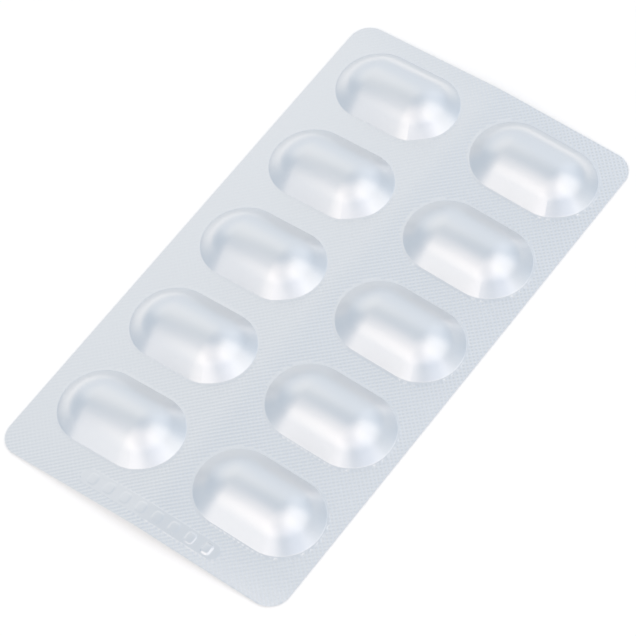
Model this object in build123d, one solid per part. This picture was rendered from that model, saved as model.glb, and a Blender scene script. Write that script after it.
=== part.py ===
from build123d import *
import math
import os

# A sealed foil blister pack, lying pocket side up on a flat surface.
# +X runs across the pack, +Y along it and +Z up. The origin is the middle of its footprint.
# Lengths are in millimetres.

# Pockets: columns of oblong domes, each a barrel between two half-round ends
column_count = 2
row_count = 5
pocket_length = 26.1  # along X, at the root line
pocket_width = 16.4  # along Y, at the root line
pocket_height = 4.9  # from the web's upper face to the crown
wall_slope_deg = 47.0
root_flare = 0.3  # how far the wall's foot spreads past the root line

# Code pads: a row of plain raised lozenges in the margin at the -Y end
code_pad_count = 8
code_pad_width = 2.2
code_pad_length = 2.6
code_pad_gap = 1.5
code_pad_corner = 0.8
code_pad_rise = 0.25
code_shift_x = 1.3  # from the pack's middle line to the middle of the row

# Lands: the sealed strips of web between the pockets, the pads and the die-cut edges
column_gap = 5.5
row_gap = 5.3
left_land = 3.75  # at -X
right_land = 2.55  # at +X
far_land = 3.65  # at +Y
code_edge_land = 2.3  # from the -Y edge to the pads
code_pocket_land = 3.35  # from the pads to the first row of pockets

# Web: the formed foil and the lidding foil, sealed face to face and die-cut to one outline.
# It is bent a little along the middle land, so that it rests on its two long edges.
corner_radius = 4.3
web_thickness = 0.3
bend_rise = 1.5  # how far the bend stands above the long edges
bend_radius = 40.0

# The lands and the pockets add up to the pack's outline
near_land = code_edge_land + code_pad_length + code_pocket_land
column_pitch = pocket_length + column_gap
row_pitch = pocket_width + row_gap
pack_width = left_land + pocket_length + column_pitch * (column_count - 1) + right_land
pack_length = near_land + pocket_width + row_pitch * (row_count - 1) + far_land
left_edge = -pack_width / 2
right_edge = pack_width / 2
near_edge = -pack_length / 2
bend_x = left_edge + left_land + column_pitch * column_count / 2 - column_gap / 2


def on_web(x, y):
    """The place on the web's upper face over (x, y), leaning with the wing that it is on."""
    edge = left_edge if x < bend_x else right_edge
    fall = bend_rise / (edge - bend_x)
    height = web_thickness + (edge - x) * fall
    return Pos(x, y, height) * Rot(0, math.degrees(math.atan(fall)), 0)


def web():
    """The die-cut sheet: two flat wings that meet in a gentle bend."""
    lower = FilletPolyline((left_edge, 0), (bend_x, bend_rise), (right_edge, 0), radius=bend_radius)
    upper = FilletPolyline(
        (left_edge, web_thickness),
        (bend_x, bend_rise + web_thickness),
        (right_edge, web_thickness),
        radius=bend_radius + web_thickness,
    )
    cut_edges = Line((left_edge, 0), (left_edge, web_thickness))
    cut_edges += Line((right_edge, 0), (right_edge, web_thickness))
    section = Plane.XZ * make_face(lower + upper + cut_edges)
    sheet = extrude(section, amount=pack_length / 2, both=True)
    return fillet(sheet.edges().filter_by(Axis.Z), corner_radius)


def half_section():
    """Half of a pocket's cross-section: a round crown, a straight wall tangent to it and a flared foot.

    The wall points at the root line, half a pocket width out at height 0. The flare takes it out to
    the web at half its slope and goes on into the web.
    """
    half = pocket_width / 2
    slope = math.radians(wall_slope_deg)
    crown_radius = (half * math.sin(slope) - pocket_height * math.cos(slope)) / (1 - math.cos(slope))
    crown_centre = pocket_height - crown_radius
    shoulder, mid_crown = (
        (crown_radius * math.sin(angle), crown_centre + crown_radius * math.cos(angle))
        for angle in (slope, slope / 2)
    )
    flare_top = (half - root_flare * math.cos(slope), root_flare * math.sin(slope))
    foot_depth = web_thickness / 2
    foot = half + root_flare + foot_depth / math.tan(slope / 2)
    outline = Polyline((0, pocket_height), (0, -foot_depth), (foot, -foot_depth), flare_top, shoulder)
    outline += ThreePointArc(shoulder, mid_crown, (0, pocket_height))
    return make_face(outline)


def pocket():
    """One pocket: a barrel between two half-round ends, lying along X."""
    straight = pocket_length - pocket_width
    half_barrel = extrude(Plane.YZ * half_section(), amount=straight / 2, both=True)
    barrel = half_barrel + mirror(half_barrel, Plane.XZ)
    end = revolve(Plane.XZ * half_section(), Axis.Z, 180)
    right_end = Pos(straight / 2, 0, 0) * Rot(0, 0, -90) * end
    left_end = Pos(-straight / 2, 0, 0) * Rot(0, 0, 90) * end
    return barrel + right_end + left_end


def pocket_places():
    """The middles of the pockets in plan, column by column."""
    first_x = left_edge + left_land + pocket_length / 2
    first_y = near_edge + near_land + pocket_width / 2
    return [
        (first_x + column * column_pitch, first_y + row * row_pitch)
        for column in range(column_count)
        for row in range(row_count)
    ]


def code_pad():
    """One raised lozenge, with its foot inside the web."""
    foot_depth = web_thickness / 2
    outline = RectangleRounded(code_pad_width, code_pad_length, code_pad_corner)
    return Pos(0, 0, -foot_depth) * extrude(outline, amount=foot_depth + code_pad_rise)


def code_places():
    """The middles of the code pads in plan."""
    pitch = code_pad_width + code_pad_gap
    first_x = code_shift_x - pitch * (code_pad_count - 1) / 2
    y = near_edge + code_edge_land + code_pad_length / 2
    return [(first_x + index * pitch, y) for index in range(code_pad_count)]


def blister_pack():
    """The whole pack as one closed solid."""
    pack = web()
    for x, y in pocket_places():
        pack += on_web(x, y) * pocket()
    for x, y in code_places():
        pack += on_web(x, y) * code_pad()
    return pack


os.makedirs("parts", exist_ok=True)
export_step(blister_pack(), "parts/blister_pack.step")
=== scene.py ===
import logging
import math
from dataclasses import dataclass, field
from enum import IntEnum
from typing import Callable, Iterable, Sequence

import bpy
from mathutils import Matrix, Vector
from mathutils.geometry import delaunay_2d_cdt


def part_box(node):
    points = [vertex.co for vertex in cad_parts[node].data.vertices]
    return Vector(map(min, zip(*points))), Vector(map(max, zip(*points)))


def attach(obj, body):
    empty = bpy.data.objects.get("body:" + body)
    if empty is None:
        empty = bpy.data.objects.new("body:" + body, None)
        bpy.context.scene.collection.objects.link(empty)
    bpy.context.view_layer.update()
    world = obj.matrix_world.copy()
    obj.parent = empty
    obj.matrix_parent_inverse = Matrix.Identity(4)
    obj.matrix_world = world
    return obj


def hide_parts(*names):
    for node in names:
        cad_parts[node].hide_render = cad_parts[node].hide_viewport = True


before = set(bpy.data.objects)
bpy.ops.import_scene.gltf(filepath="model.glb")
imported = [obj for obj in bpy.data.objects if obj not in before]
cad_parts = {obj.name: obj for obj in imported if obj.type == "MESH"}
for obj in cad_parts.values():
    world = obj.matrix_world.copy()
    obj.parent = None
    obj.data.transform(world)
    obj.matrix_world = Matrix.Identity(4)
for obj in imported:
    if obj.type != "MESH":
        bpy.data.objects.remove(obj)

LOG = logging.getLogger("blister_pack")
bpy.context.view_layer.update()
NODE = "blister_pack"
BODY = "root"
MM = 0.001
WELD_DIGITS = 6
WHOLE_PLAN = 0

Colour = tuple[float, float, float]
Plan = tuple[float, float]
Pair = tuple[int, int]


class Sheet(IntEnum):
    """The faces of the pack, each with its own finish, in the order of its material slots."""

    FORMED = 0
    CUT = 1
    LIDDING = 2


@dataclass(frozen=True)
class RoundedBox:
    """A rectangle with round corners in plan, in millimetres. With full corners it is an oblong."""

    width: float
    length: float
    corner: float
    x: float = 0.0
    y: float = 0.0

    def grown(self, offset: float) -> "RoundedBox":
        """The same shape with its edge moved outward by offset."""
        width, length = max(self.width + 2 * offset, 0.0), max(self.length + 2 * offset, 0.0)
        return RoundedBox(width, length, max(self.corner + offset, 0.0), self.x, self.y)

    def distance(self, x: float, y: float) -> float:
        """How far a point in plan lies from the edge.

        Args:
            x: the point along X.
            y: the point along Y.

        Returns:
            The distance, below 0 inside.
        """
        across = abs(x - self.x) - self.width / 2 + self.corner
        along = abs(y - self.y) - self.length / 2 + self.corner
        outside = math.hypot(max(across, 0.0), max(along, 0.0))
        return outside + min(max(across, along), 0.0) - self.corner

    def loop(self, corner_steps: int, width_steps: int, length_steps: int) -> list[Plan]:
        """The edge as points, anticlockwise from the -X end of the -Y side.

        Args:
            corner_steps: how many chords each round corner has.
            width_steps: how many pieces each side along X has.
            length_steps: how many pieces each side along Y has, 0 where the ends are half rounds.

        Returns:
            The points in plan, the first one not repeated at the end.
        """
        half_x = self.width / 2 - self.corner
        half_y = self.length / 2 - self.corner
        points: list[Plan] = []
        for turn, (sign_x, sign_y) in enumerate(((1, -1), (1, 1), (-1, 1), (-1, -1))):
            heading = math.radians(90 * turn)
            steps = width_steps if turn % 2 == 0 else length_steps
            run = 2 * (half_x if turn % 2 == 0 else half_y)
            corner_x, corner_y = self.x + sign_x * half_x, self.y + sign_y * half_y
            for step in range(steps):
                back = run * (1 - step / steps)
                side_x = corner_x + self.corner * math.sin(heading) - back * math.cos(heading)
                side_y = corner_y - self.corner * math.cos(heading) - back * math.sin(heading)
                points.append((side_x, side_y))
            for step in range(corner_steps):
                angle = heading + math.radians(90 * step / corner_steps - 90)
                round_x = corner_x + self.corner * math.cos(angle)
                round_y = corner_y + self.corner * math.sin(angle)
                points.append((round_x, round_y))
        return points


@dataclass
class Shell:
    """A skin in the making: its points in millimetres, and its faces with their sheet and shading."""

    points: list[Vector] = field(default_factory=list)
    faces: list[tuple[int, ...]] = field(default_factory=list)
    sheets: list[Sheet] = field(default_factory=list)
    rounded: list[bool] = field(default_factory=list)
    creases: set[frozenset[int]] = field(default_factory=set)

    def add_points(self, points: Iterable[Vector]) -> list[int]:
        """Add points, those at one place only once.

        Args:
            points: the new points.

        Returns:
            Their numbers in order.
        """
        numbers: dict[tuple[float, ...], int] = {}
        order: list[int] = []
        for point in points:
            key = tuple(round(value, WELD_DIGITS) for value in point)
            if key not in numbers:
                numbers[key] = len(self.points)
                self.points.append(point)
            order.append(numbers[key])
        return order

    def add_face(self, corners: Sequence[int], sheet: Sheet, rounded: bool) -> None:
        """Add one face, without repeated corners.

        Args:
            corners: the point numbers, anticlockwise from outside.
            sheet: the sheet that the face belongs to.
            rounded: whether it is shaded as part of a round form.
        """
        face = tuple(dict.fromkeys(corners))
        if len(face) > 2:
            self.faces.append(face)
            self.sheets.append(sheet)
            self.rounded.append(rounded)

    def add_band(self, outer: Sequence[int], inner: Sequence[int], sheet: Sheet, rounded: bool) -> None:
        """Join two loops of as many points by a band of faces.

        Args:
            outer: the loop that runs anticlockwise round the other, seen from outside.
            inner: the loop inside or above it.
            sheet: the sheet that the band belongs to.
            rounded: whether the band is shaded as part of a round form.
        """
        count = len(outer)
        for step in range(count):
            after = (step + 1) % count
            self.add_face((outer[step], outer[after], inner[after], inner[step]), sheet, rounded)

    def add_crease(self, line: Sequence[int]) -> None:
        """Keep the edges along a line of points sharp."""
        self.creases.update(frozenset(pair) for pair in zip(line, line[1:]))

    def to_object(self, name: str, materials: Sequence[bpy.types.Material]) -> bpy.types.Object:
        """Make the skin an object of the scene.

        Args:
            name: the object's name.
            materials: one material for each sheet, in order.

        Returns:
            The new object, in metres.
        """
        mesh = bpy.data.meshes.new(name)
        mesh.from_pydata([point * MM for point in self.points], [], self.faces)
        for material in materials:
            mesh.materials.append(material)
        mesh.polygons.foreach_set("material_index", [int(sheet) for sheet in self.sheets])
        mesh.polygons.foreach_set("use_smooth", self.rounded)
        mesh.update()
        for edge in mesh.edges:
            edge.use_edge_sharp = frozenset(edge.vertices) in self.creases
        piece = bpy.data.objects.new(name, mesh)
        bpy.context.scene.collection.objects.link(piece)
        return piece


@dataclass(frozen=True)
class Web:
    """The sealed sheet: two flat wings that meet in a gentle bend along the middle land."""

    width: float
    length: float
    corner: float = 4.3
    thickness: float = 0.3
    bend_x: float = 0.6
    bend_rise: float = 1.5
    bend_radius: float = 40.0
    edge_step: float = 0.4

    def fall(self, x: float) -> float:
        """How fast the wing under x falls toward +X."""
        edge = -self.width / 2 if x < self.bend_x else self.width / 2
        return self.bend_rise / (edge - self.bend_x)

    def height(self, x: float) -> float:
        """The height of the upper face.

        Args:
            x: the place across the pack.

        Returns:
            The height on a wing, or on the arc of the bend between them.
        """
        edge = -self.width / 2 if x < self.bend_x else self.width / 2
        flat = self.thickness + (edge - x) * self.fall(x)
        left = math.atan(-self.fall(-self.width / 2))
        right = math.atan(-self.fall(self.width / 2))
        radius = self.bend_radius + self.thickness
        reach = radius / math.cos((left - right) / 2)
        middle = (left + right) / 2
        centre_x = self.bend_x + reach * math.sin(middle)
        centre_z = self.thickness + self.bend_rise - reach * math.cos(middle)
        if not centre_x - radius * math.sin(left) < x < centre_x - radius * math.sin(right):
            return flat
        return centre_z + math.sqrt(radius**2 - (x - centre_x) ** 2)

    def over(self, x: float, y: float, rise: float) -> Vector:
        """The point that stands rise above the upper face, straight over a point in plan."""
        return Vector((x, y, self.height(x) + rise))

    def seat(self, x: float, y: float) -> Matrix:
        """The frame of something that stands on the wing at a point in plan, square to the wing."""
        lean = Matrix.Rotation(math.atan(self.fall(x)), 4, "Y")
        return Matrix.Translation(self.over(x, y, 0.0)) @ lean

    def outline(self) -> RoundedBox:
        """The die-cut edge in plan."""
        return RoundedBox(self.width, self.length, self.corner)

    def edge_loop(self) -> list[Plan]:
        """The die-cut edge as points, close enough for the knurl to run off it."""
        steps = [round((side - 2 * self.corner) / self.edge_step) for side in (self.width, self.length)]
        return self.outline().loop(round(self.corner * math.pi / 2 / self.edge_step), *steps)


@dataclass(frozen=True)
class SealKnurl:
    """The waffle that the sealing plate presses into the web: two crossing sets of grooves.

    The plate presses harder toward +X and toward both ends.
    """

    pitch: float = 0.733
    depth: float = 0.06
    clearance: float = 0.1
    side_share: float = 0.6
    end_share: float = 0.6
    end_reach: float = 7.0
    back_share: float = 0.4

    def sink(self, x: float, y: float, web: Web) -> float:
        """How deep a web is pressed in.

        Args:
            x: the point along X.
            y: the point along Y.
            web: the web that the plate presses on.

        Returns:
            The depth below the web's plain face.
        """
        across = (x + y) / math.sqrt(2) / self.pitch % 1.0
        along = (x - y) / math.sqrt(2) / self.pitch % 1.0
        end = max(1 - (web.length / 2 - abs(y)) / self.end_reach, 0.0)
        press = 1 + self.side_share * 2 * x / web.width + self.end_share * end
        return self.depth * press * (1 - abs(across - 0.5) - abs(along - 0.5))

    def lattice(
        self, free: Callable[[float, float], bool], width: float, length: float
    ) -> tuple[list[Plan], list[Pair]]:
        """The waffle's nodes in plan and the lines between them.

        Args:
            free: tells whether the knurl covers a point in plan.
            width: the extent along X.
            length: the extent along Y.

        Returns:
            The nodes on ridges and groove floors, and the pairs of nodes that one of these joins.
        """
        step = self.pitch / math.sqrt(8)
        count_x, count_y = int(width / 2 / step), int(length / 2 / step)
        numbers: dict[Pair, int] = {}
        nodes: list[Plan] = []
        for i in range(-count_x, count_x + 1):
            for j in range(-count_y, count_y + 1):
                if (i + j) % 2 == 0 and free(i * step, j * step):
                    numbers[i, j] = len(nodes)
                    nodes.append((i * step, j * step))
        lines = [
            (numbers[i, j], numbers[i + 1, j + turn])
            for i, j in numbers
            for turn in (-1, 1)
            if (i + 1, j + turn) in numbers
        ]
        return nodes, lines


@dataclass(frozen=True)
class Pocket:
    """One pressed pocket: an oblong dome with a smooth rim, a soft root and an arched crown."""

    length: float = 26.1
    width: float = 16.4
    height: float = 4.89
    wall_slope: float = math.radians(47.0)
    root_flare: float = 0.12
    arch: float = 0.2
    rim: float = 0.15
    fold: float = 0.45
    fold_step: int = 5
    fold_turn: float = math.radians(50.0)
    fold_height: float = 3.0
    root_steps: int = 6
    crown_steps: int = 18
    end_steps: int = 22
    side_steps: int = 10

    def root(self, x: float = 0.0, y: float = 0.0) -> RoundedBox:
        """The oblong where the wall would meet the web, about a point in plan."""
        return RoundedBox(self.length, self.width, self.width / 2, x, y)

    def profile(self) -> list[tuple[float, float]]:
        """The section of the wall, as steps outward from the root line and up from the web.

        Returns:
            Pairs of offset and rise, from the rim in to the crown.
        """
        half = self.width / 2
        slope = self.wall_slope
        root_radius = self.root_flare / math.tan(slope / 2)
        crown_radius = (half * math.sin(slope) - self.height * math.cos(slope)) / (1 - math.cos(slope))
        steps = [(self.root_flare + self.rim, 0.0)]
        for step in range(self.root_steps + 1):
            angle = slope * step / self.root_steps
            offset = self.root_flare - root_radius * math.sin(angle)
            steps.append((offset, root_radius * (1 - math.cos(angle))))
        for step in range(self.crown_steps + 1):
            angle = slope * (1 - step / self.crown_steps)
            offset = crown_radius * math.sin(angle) - half
            steps.append((offset, self.height - crown_radius * (1 - math.cos(angle))))
        return steps

    def shaped(self, x: float, y: float, rise: float, press: float) -> Vector:
        """One point of the pocket after its crown is arched and its foil folded in.

        Args:
            x: the point along the pocket.
            y: the point across the pocket.
            rise: its height on the plain profile.
            press: how much of the fold this pocket has, where its -Y wall turns into the +X end.

        Returns:
            The point in the pocket's frame.
        """
        lift = rise * (1 - self.arch * (2 * x / self.length) ** 2)
        middle = (self.length - self.width) / 2
        heading = math.atan2(y, x - middle)
        share = (heading + math.pi / 2 * (1 - self.fold_step / self.end_steps)) / self.fold_turn
        if x <= middle or not 0 < share < 1:
            return Vector((x, y, lift))
        deepest = 1 / 3
        swell = share * (1 - share) ** 2 / (deepest * (1 - deepest) ** 2)
        inset = self.fold * press * swell * max(1 - rise / self.fold_height, 0.0)
        return Vector((x - inset * math.cos(heading), y - inset * math.sin(heading), lift))

    def rings(self, seat: Matrix, press: float) -> list[list[Vector]]:
        """The pocket as rings of points, from the rim in to the line of its crown.

        Args:
            seat: the frame that the pocket stands in.
            press: how much of the fold this pocket has.

        Returns:
            One ring for each step of the profile, all with as many points.
        """
        rings = []
        for offset, rise in self.profile():
            loop = self.root().grown(offset).loop(self.end_steps, self.side_steps, 0)
            rings.append([seat @ self.shaped(x, y, rise, press) for x, y in loop])
        return rings


@dataclass(frozen=True)
class CodeStrip:
    """The smooth strip in the margin, with its row of raised blank pads, pressed harder toward +X."""

    count: int = 8
    pad_width: float = 2.2
    pad_length: float = 2.6
    pad_gap: float = 1.5
    pad_corner: float = 0.8
    pad_rise: float = 0.25
    faint_rise: float = 0.05
    fade_power: int = 8
    pad_soft: float = 0.45
    soft_steps: int = 6
    edge_land: float = 2.3
    shift_x: float = 1.3
    margin_x: float = 1.2
    margin_y: float = 0.35
    corner: float = 1.2
    corner_steps: int = 6
    side_steps: int = 4
    strip_steps: Pair = (60, 8)

    def middle_y(self, web: Web) -> float:
        """Where the row of pads lies along the pack."""
        return self.edge_land + self.pad_length / 2 - web.length / 2

    def pads(self, web: Web) -> list[RoundedBox]:
        """The row of pads.

        Args:
            web: the web that they stand on.

        Returns:
            The pads in plan, from -X to +X.
        """
        pitch = self.pad_width + self.pad_gap
        first = self.shift_x - pitch * (self.count - 1) / 2
        y = self.middle_y(web)
        return [
            RoundedBox(self.pad_width, self.pad_length, self.pad_corner, first + pitch * number, y)
            for number in range(self.count)
        ]

    def strip(self, web: Web) -> RoundedBox:
        """The smooth field round the pads.

        Args:
            web: the web that it lies on.

        Returns:
            The field in plan.
        """
        row = (self.pad_width + self.pad_gap) * self.count - self.pad_gap
        width, length = row + 2 * self.margin_x, self.pad_length + 2 * self.margin_y
        return RoundedBox(width, length, self.corner, self.shift_x, self.middle_y(web))

    def rings(self, web: Web, number: int) -> list[list[Vector]]:
        """One pad as rings of points, from its foot up to the line of its top.

        Args:
            web: the web that the pad stands on.
            number: the pad's place in the row, from 0 at the -X end.

        Returns:
            Rings with as many points each.
        """
        pad = self.pads(web)[number]
        press = (number / (self.count - 1)) ** self.fade_power
        rise = self.faint_rise + (self.pad_rise - self.faint_rise) * press
        rings = []
        for step in range(self.soft_steps + 1):
            share = step / self.soft_steps
            rings.append((self.pad_soft * share, rise * (1 - math.cos(math.pi * share)) / 2))
        rings.append((self.pad_width / 2, rise))
        steps = (self.corner_steps, self.side_steps, self.side_steps)
        return [[web.over(x, y, lift) for x, y in pad.grown(-inset).loop(*steps)] for inset, lift in rings]


def fill_plan(
    loops: Sequence[Sequence[Plan]], holes: int, nodes: Sequence[Plan], ridges: Sequence[Pair]
) -> list[tuple[int, ...]]:
    """Fill a flat field between loops with triangles that keep the ridges as edges.

    Args:
        loops: the outer loop first, which is convex, then the inner ones.
        holes: how many of the last loops stay open.
        nodes: more points in the field.
        ridges: pairs of nodes that an edge must join.

    Returns:
        Triangles by point number: the loops' points in order, then the nodes.
    """
    points: list[Vector] = []
    edges: list[Pair] = []
    fields: list[list[int]] = []
    for loop in loops:
        first, count = len(points), len(loop)
        points += [Vector(point) for point in loop]
        edges += [(first + step, first + (step + 1) % count) for step in range(count)]
        fields.append(list(range(first, first + count)))
    first = len(points)
    points += [Vector(node) for node in nodes]
    edges += [(first + a, first + b) for a, b in ridges]
    closed = fields[len(loops) - holes:]
    _, _, faces, sources, _, covers = delaunay_2d_cdt(points, edges, closed, WHOLE_PLAN, 10**-WELD_DIGITS)
    kept = [face for face, cover in zip(faces, covers) if not cover]
    return [tuple(sources[corner][0] for corner in face) for face in kept]


@dataclass(frozen=True)
class FoilFinish:
    """A foil's surface: bare or lacquered aluminium with a fine rolled grain."""

    name: str
    colour: Colour
    roughness: float
    grain_scale: float
    grain_depth: float
    mottle: float

    def material(self, grain: bpy.types.ShaderNodeTree) -> bpy.types.Material:
        """The finish as a material.

        Args:
            grain: the shared rolled grain.

        Returns:
            A new material.
        """
        material = bpy.data.materials.new(self.name)
        material.use_nodes = True
        nodes, links = material.node_tree.nodes, material.node_tree.links
        shader = nodes["Principled BSDF"]
        shader.inputs["Metallic"].default_value = 1.0
        group = nodes.new("ShaderNodeGroup")
        group.node_tree = grain
        group.inputs["Scale"].default_value = self.grain_scale
        group.inputs["Colour"].default_value = (*self.colour, 1.0)
        group.inputs["Roughness"].default_value = self.roughness
        group.inputs["Mottle"].default_value = self.mottle
        bump = nodes.new("ShaderNodeBump")
        bump.inputs["Distance"].default_value = self.grain_depth * MM
        links.new(group.outputs["Height"], bump.inputs["Height"])
        links.new(group.outputs["Colour"], shader.inputs["Base Color"])
        links.new(group.outputs["Roughness"], shader.inputs["Roughness"])
        links.new(bump.outputs["Normal"], shader.inputs["Normal"])
        return material


def rolled_grain() -> bpy.types.ShaderNodeTree:
    """The foils' shared surface: a fine grain drawn out along the roll, over a soft mottle.

    Returns:
        A node group that puts out a colour, a roughness and a height.
    """
    group = bpy.data.node_groups.new("rolled_grain", "ShaderNodeTree")
    number, shade = "NodeSocketFloat", "NodeSocketColor"
    takes = {"Scale": number, "Colour": shade, "Roughness": number, "Mottle": number}
    gives = {"Colour": shade, "Roughness": number, "Height": number}
    for way, sockets in (("INPUT", takes), ("OUTPUT", gives)):
        for name, kind in sockets.items():
            group.interface.new_socket(name, in_out=way, socket_type=kind)
    nodes, links = group.nodes, group.links
    source = nodes.new("NodeGroupInput")
    target = nodes.new("NodeGroupOutput")
    place = nodes.new("ShaderNodeTexCoord")
    stretch = nodes.new("ShaderNodeMapping")
    stretch.inputs["Scale"].default_value = (1.0, 0.35, 1.0)
    links.new(place.outputs["Object"], stretch.inputs["Vector"])
    fine = nodes.new("ShaderNodeTexNoise")
    fine.inputs["Detail"].default_value = 3.0
    links.new(stretch.outputs["Vector"], fine.inputs["Vector"])
    links.new(source.outputs["Scale"], fine.inputs["Scale"])
    links.new(fine.outputs["Fac"], target.inputs["Height"])
    broad = nodes.new("ShaderNodeTexNoise")
    broad.inputs["Scale"].default_value = 90.0
    broad.inputs["Detail"].default_value = 2.0
    links.new(place.outputs["Object"], broad.inputs["Vector"])
    centred = nodes.new("ShaderNodeMath")
    centred.operation = "SUBTRACT"
    centred.inputs[1].default_value = 0.5
    links.new(broad.outputs["Fac"], centred.inputs[0])
    scaled = nodes.new("ShaderNodeMath")
    scaled.operation = "MULTIPLY"
    links.new(centred.outputs[0], scaled.inputs[0])
    links.new(source.outputs["Mottle"], scaled.inputs[1])
    rough = nodes.new("ShaderNodeMath")
    rough.operation = "ADD"
    links.new(source.outputs["Roughness"], rough.inputs[0])
    links.new(scaled.outputs[0], rough.inputs[1])
    links.new(rough.outputs[0], target.inputs["Roughness"])
    tint = nodes.new("ShaderNodeHueSaturation")
    value = nodes.new("ShaderNodeMath")
    value.operation = "MULTIPLY_ADD"
    value.inputs[1].default_value = 0.35
    value.inputs[2].default_value = 1.0
    links.new(scaled.outputs[0], value.inputs[0])
    links.new(value.outputs[0], tint.inputs["Value"])
    links.new(source.outputs["Colour"], tint.inputs["Color"])
    links.new(tint.outputs["Color"], target.inputs["Colour"])
    return group


@dataclass(frozen=True)
class BlisterPack:
    """The sealed pack: pocket grid, knurled web, code strip and lidding, as one closed skin."""

    web: Web
    pocket: Pocket = Pocket()
    knurl: SealKnurl = SealKnurl()
    code: CodeStrip = CodeStrip()
    rows: int = 5
    columns: int = 2
    row_gap: float = 5.3
    column_gap: float = 5.5
    far_land: float = 3.65
    fold_far_share: float = 0.5
    fold_side_share: float = 0.75
    formed: FoilFinish = FoilFinish("formed_foil", (0.88, 0.88, 0.88), 0.36, 9000.0, 0.004, 0.05)
    cut: FoilFinish = FoilFinish("cut_edge", (0.80, 0.82, 0.84), 0.25, 14000.0, 0.003, 0.05)
    lidding: FoilFinish = FoilFinish("lidding_foil", (0.80, 0.81, 0.82), 0.28, 12000.0, 0.003, 0.06)

    def pocket_places(self) -> list[Plan]:
        """Where the pockets lie.

        Returns:
            Their middles in plan, from the far end, the -X column first.
        """
        pitch_x, pitch_y = self.pocket.length + self.column_gap, self.pocket.width + self.row_gap
        last_y = self.web.length / 2 - self.far_land - self.pocket.width / 2
        return [
            (self.web.bend_x + (column - (self.columns - 1) / 2) * pitch_x, last_y - row * pitch_y)
            for column in range(self.columns)
            for row in range(self.rows)
        ]

    def fold_share(self, x: float, y: float) -> float:
        """How much of the fold the pocket at a point in plan has, most in the far corner at -X."""
        return (self.fold_far_share + y / self.web.length) * (self.fold_side_share - x / self.web.width)

    def add_rings(self, shell: Shell, rings: Sequence[Sequence[Vector]]) -> list[list[int]]:
        """Add a closed stack of rings.

        Args:
            shell: the skin that the rings are added to.
            rings: the rings from the outermost in, with as many points each.

        Returns:
            The point numbers of each ring.
        """
        numbers = [shell.add_points(ring) for ring in rings]
        for outer, inner in zip(numbers, numbers[1:]):
            shell.add_band(outer, inner, Sheet.FORMED, True)
        return numbers

    def add_pocket(self, shell: Shell, x: float, y: float) -> list[int]:
        """Add one pocket, with the crease of its fold.

        Args:
            shell: the skin that the pocket is added to.
            x: its middle along X.
            y: its middle along Y.

        Returns:
            The point numbers of its rim.
        """
        rings = self.add_rings(shell, self.pocket.rings(self.web.seat(x, y), self.fold_share(x, y)))
        rises = [rise for _, rise in self.pocket.profile()]
        folded = [ring for ring, rise in zip(rings, rises) if rise < self.pocket.fold_height]
        shell.add_crease([ring[self.pocket.side_steps + self.pocket.fold_step] for ring in folded])
        return rings[0]

    def add_side(
        self,
        shell: Shell,
        sheet: Sheet,
        edge: Sequence[int],
        fields: Sequence[Sequence[int]],
        open_fields: int,
    ) -> None:
        """Fill one side of the web between its die-cut edge and the smooth fields on it.

        Args:
            shell: the skin that the side is added to.
            sheet: the formed foil on top or the lidding foil below.
            edge: the point numbers of the die-cut edge.
            fields: the point numbers of each smooth field's edge.
            open_fields: how many of the last fields are closed by something else.
        """
        upper = sheet is Sheet.FORMED
        outline = self.web.outline()
        brim = self.pocket.root_flare + self.pocket.rim
        smooth = [self.pocket.root(x, y).grown(brim) for x, y in self.pocket_places()]
        smooth.append(self.code.strip(self.web))
        room = self.knurl.clearance

        def free(x: float, y: float) -> bool:
            """Whether the knurl covers a point."""
            return outline.distance(x, y) < -room and all(box.distance(x, y) > room for box in smooth)

        nodes, ridges = self.knurl.lattice(free, self.web.width, self.web.length)
        lift = 0.0 if upper else -self.web.thickness
        share = -1.0 if upper else self.knurl.back_share
        placed = [self.web.over(x, y, lift + share * self.knurl.sink(x, y, self.web)) for x, y in nodes]
        numbers = [number for loop in (edge, *fields) for number in loop] + shell.add_points(placed)
        loops = [[tuple(shell.points[number].xy) for number in loop] for loop in (edge, *fields)]
        for face in fill_plan(loops, open_fields, nodes, ridges):
            corners = [numbers[corner] for corner in face]
            shell.add_face(corners if upper else corners[::-1], sheet, False)

    def build(self) -> bpy.types.Object:
        """Build the pack and dress it.

        Returns:
            The pack's object, riding on its body.
        """
        shell = Shell()
        rim = self.web.edge_loop()
        sinks = [self.knurl.sink(x, y, self.web) for x, y in rim]
        upper = shell.add_points(self.web.over(x, y, -sink) for (x, y), sink in zip(rim, sinks))
        backs = [sink * self.knurl.back_share - self.web.thickness for sink in sinks]
        lower = shell.add_points(self.web.over(x, y, back) for (x, y), back in zip(rim, backs))
        shell.add_band(lower, upper, Sheet.CUT, False)
        pockets = [self.add_pocket(shell, x, y) for x, y in self.pocket_places()]
        stacks = [self.code.rings(self.web, number) for number in range(self.code.count)]
        raised = [*pockets, *(self.add_rings(shell, stack)[0] for stack in stacks)]
        strip = self.code.strip(self.web).loop(self.code.corner_steps, *self.code.strip_steps)
        field_above = shell.add_points(self.web.over(x, y, 0.0) for x, y in strip)
        self.add_side(shell, Sheet.FORMED, upper, [field_above, *raised], len(raised))
        below = [shell.add_points(self.web.over(x, y, -self.web.thickness) for x, y in strip)]
        for pocket in pockets:
            foot = [shell.points[number] - Vector((0, 0, self.web.thickness)) for number in pocket]
            below.append(shell.add_points(foot))
        self.add_side(shell, Sheet.LIDDING, lower, below, 0)
        grain = rolled_grain()
        finishes = (self.formed, self.cut, self.lidding)
        piece = shell.to_object("sealed_foil", [finish.material(grain) for finish in finishes])
        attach(piece, BODY)
        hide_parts(NODE)
        return piece


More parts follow.
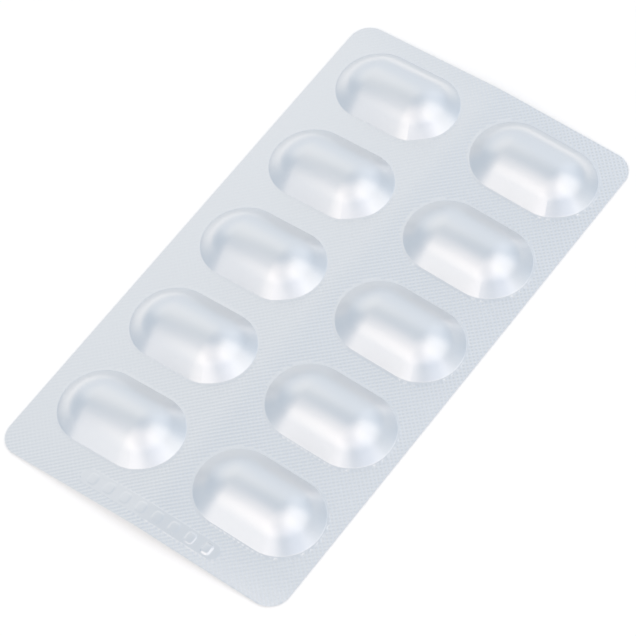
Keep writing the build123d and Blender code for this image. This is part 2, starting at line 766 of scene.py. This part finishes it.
@dataclass(frozen=True)
class Softbox:
    """A lamp behind a sheet of white cloth that faces the pack."""

    name: str
    azimuth: float
    elevation: float
    width: float
    height: float
    radiance: Colour
    distance: float = 0.8

    def hang(self) -> bpy.types.Object:
        """Hang the lamp in the studio.

        Returns:
            The lamp's object, facing the pack.
        """
        lamp = bpy.data.lights.new(self.name, "AREA")
        lamp.shape = "RECTANGLE"
        lamp.size = self.width
        lamp.size_y = self.height
        peak = max(self.radiance)
        lamp.color = tuple(value / peak for value in self.radiance)
        lamp.energy = peak * math.pi * self.width * self.height
        item = bpy.data.objects.new(self.name, lamp)
        turn, tilt = math.radians(self.azimuth), math.radians(self.elevation)
        away = Vector((math.cos(turn) * math.cos(tilt), math.sin(turn) * math.cos(tilt), math.sin(tilt)))
        item.location = away * self.distance
        item.rotation_euler = away.to_track_quat("Z", "Y").to_euler()
        bpy.context.scene.collection.objects.link(item)
        return item


@dataclass(frozen=True)
class Studio:
    """A pale floor in a cool surround, the lamps, and the camera."""

    floor_size: float = 4.0
    floor_colour: Colour = (0.94, 0.90, 0.85)
    floor_lift: Colour = (0.22, 0.225, 0.235)
    surround: Colour = (0.543, 0.620, 0.712)
    lamps: tuple[Softbox, ...] = (
        Softbox("right_softbox", 20.0, 48.0, 0.7, 0.7, (0.52, 0.46, 0.40)),
        Softbox("left_softbox", 250.0, 30.0, 0.4, 0.8, (0.51, 0.44, 0.38)),
        Softbox("left_strip", 284.0, 26.0, 0.3, 0.4, (0.54, 0.47, 0.42), 0.6),
        Softbox("front_fill", 305.0, 62.0, 0.9, 0.8, (0.33, 0.27, 0.23)),
        Softbox("low_fill", 345.0, 30.0, 0.6, 0.6, (0.19, 0.19, 0.22)),
        Softbox("over_left", 240.0, 55.0, 0.7, 0.7, (0.16, 0.13, 0.10)),
        Softbox("back_panel", 125.0, 33.0, 1.7, 0.8, (0.23, 0.21, 0.19)),
        Softbox("side_fill", 60.0, 40.0, 0.7, 0.7, (0.10, 0.11, 0.13)),
        Softbox("back_softbox", 150.0, 50.0, 0.4, 0.4, (0.13, 0.10, 0.06), 0.5),
    )
    aim: Colour = (1.556, -3.302, 0.3)
    camera_distance: float = 630.1
    camera_azimuth: float = 43.75
    camera_elevation: float = 56.60
    camera_roll: float = -8.92
    lens: float = 192.64
    sensor: float = 36.0

    def floor_paper(self) -> bpy.types.Material:
        """The floor's paper: matt, and lifted to white where it is seen or mirrored.

        Returns:
            A material that still takes the pack's shadow.
        """
        material = bpy.data.materials.new("floor_paper")
        material.use_nodes = True
        nodes, links = material.node_tree.nodes, material.node_tree.links
        shader = nodes["Principled BSDF"]
        shader.inputs["Base Color"].default_value = (*self.floor_colour, 1.0)
        shader.inputs["Roughness"].default_value = 1.0
        shader.inputs["Specular IOR Level"].default_value = 0.0
        shader.inputs["Emission Color"].default_value = (*self.floor_lift, 1.0)
        path = nodes.new("ShaderNodeLightPath")
        seen = path.outputs["Is Camera Ray"]
        for name in ("Is Glossy Ray", "Is Transmission Ray"):
            either = nodes.new("ShaderNodeMath")
            either.operation = "MAXIMUM"
            links.new(seen, either.inputs[0])
            links.new(path.outputs[name], either.inputs[1])
            seen = either.outputs[0]
        links.new(seen, shader.inputs["Emission Strength"])
        return material

    def lay_floor(self) -> bpy.types.Object:
        """Lay the floor that the pack rests on.

        Returns:
            The floor.
        """
        half = self.floor_size / 2
        mesh = bpy.data.meshes.new("floor")
        corners = [(-half, -half, 0), (half, -half, 0), (half, half, 0), (-half, half, 0)]
        mesh.from_pydata(corners, [], [range(len(corners))])
        mesh.materials.append(self.floor_paper())
        floor = bpy.data.objects.new("floor", mesh)
        bpy.context.scene.collection.objects.link(floor)
        return floor

    def raise_surround(self) -> bpy.types.World:
        """Raise the plain surround that the foil mirrors beside the lamps.

        Returns:
            The scene's new world.
        """
        world = bpy.data.worlds.new("studio")
        world.use_nodes = True
        world.node_tree.nodes["Background"].inputs["Color"].default_value = (*self.surround, 1.0)
        bpy.context.scene.world = world
        return world

    def set_camera(self) -> bpy.types.Object:
        """Set the camera at the photograph's viewing angle.

        Returns:
            The camera, made the scene's own.
        """
        data = bpy.data.cameras.new("camera")
        data.lens = self.lens
        data.sensor_width = self.sensor
        turn, tilt = math.radians(self.camera_azimuth), math.radians(self.camera_elevation)
        level_part = math.cos(tilt)
        back = Vector((math.sin(turn) * level_part, -math.cos(turn) * level_part, math.sin(tilt)))
        level = back.to_track_quat("Z", "Y").to_matrix().to_4x4()
        roll = Matrix.Rotation(math.radians(self.camera_roll), 4, "Z")
        camera = bpy.data.objects.new("camera", data)
        spot = (Vector(self.aim) + back * self.camera_distance) * MM
        camera.matrix_world = Matrix.Translation(spot) @ level @ roll
        bpy.context.scene.collection.objects.link(camera)
        bpy.context.scene.camera = camera
        return camera

    def build(self) -> list[bpy.types.Object]:
        """Build the studio.

        Returns:
            The floor, the lamps and the camera.
        """
        self.raise_surround()
        bpy.context.scene.view_settings.view_transform = "Standard"
        return [self.lay_floor(), *(lamp.hang() for lamp in self.lamps), self.set_camera()]


def main() -> None:
    """Build the pack, then the studio round it."""
    logging.basicConfig(level=logging.INFO, format="%(message)s")
    low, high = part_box(NODE)
    web = Web(width=(high.x - low.x) / MM, length=(high.y - low.y) / MM)
    piece = BlisterPack(web).build()
    LOG.info("%s: %d faces", piece.name, len(piece.data.polygons))
    for item in Studio().build():
        LOG.info("%s", item.name)


if __name__ == "__main__":
    main()
